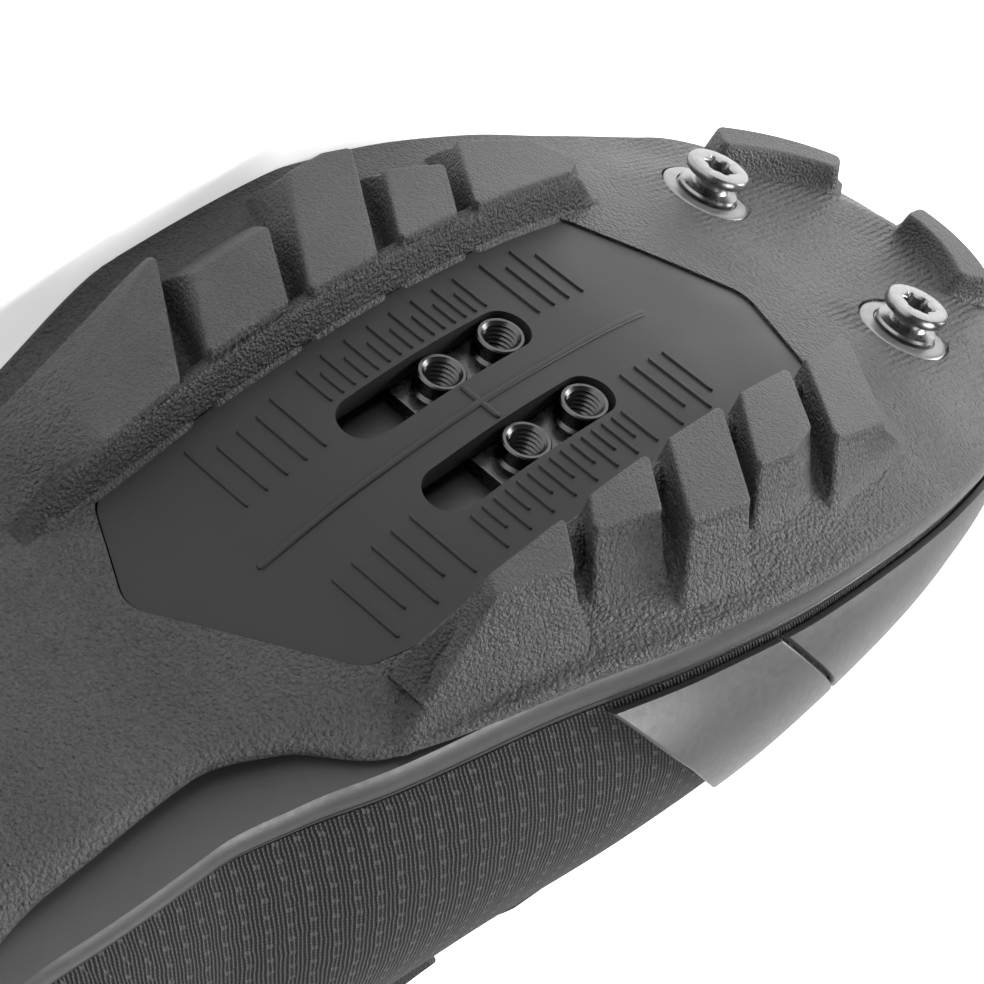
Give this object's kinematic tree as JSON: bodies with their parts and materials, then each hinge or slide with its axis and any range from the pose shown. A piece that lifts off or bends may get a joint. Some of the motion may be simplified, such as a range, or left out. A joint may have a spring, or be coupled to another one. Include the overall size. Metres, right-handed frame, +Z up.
{
  "type": "cycling shoe",
  "caption": "Right off-road cycling shoe lying on its outer side: lugged sole, recessed cleat plate with slots and sliding nut, steel toe studs, hollow mesh upper, strap closure.",
  "frame": {"origin": "middle of the footprint on the ground, with the shoe lying on its outer side", "axes": "toe towards -X, sole facing -Y, inner (medial) side of the shoe up along +Z"},
  "size_m": [0.2876, 0.1298, 0.0968],
  "materials": {
    "outsole_rubber": "moulded, fine pebble grain",
    "midsole_rubber": "smooth satin",
    "plate_nylon": "smooth satin",
    "dark_steel": "dark turned steel",
    "mesh_cloth": "woven mesh",
    "overlay_film": "smooth moulded film",
    "strap_webbing": "coated cloth",
    "lining_cloth": "padded lining cloth"
  },
  "bodies": {
    "shoe": {"outsole": "outsole_rubber", "midsole": "midsole_rubber", "cleat_plate": "plate_nylon", "toe_stud_lateral": "dark_steel", "toe_stud_medial": "dark_steel", "insole": "lining_cloth", "upper": "mesh_cloth", "tongue": "lining_cloth", "toe_cap": "overlay_film", "overlay_medial": "overlay_film", "overlay_lateral": "overlay_film", "heel_counter": "overlay_film", "strap_1": "strap_webbing", "strap_2": "strap_webbing", "strap_3": "strap_webbing"},
    "cleat_nut": {"cleat_nut": "dark_steel"}
  },
  "joints": [
    {"name": "cleat_nut_slide", "type": "slide", "parent": "shoe", "child": "cleat_nut", "axis": [-0.9998, 0, 0.0206], "range_m": [-0.013, 0.0005]}
  ]
}
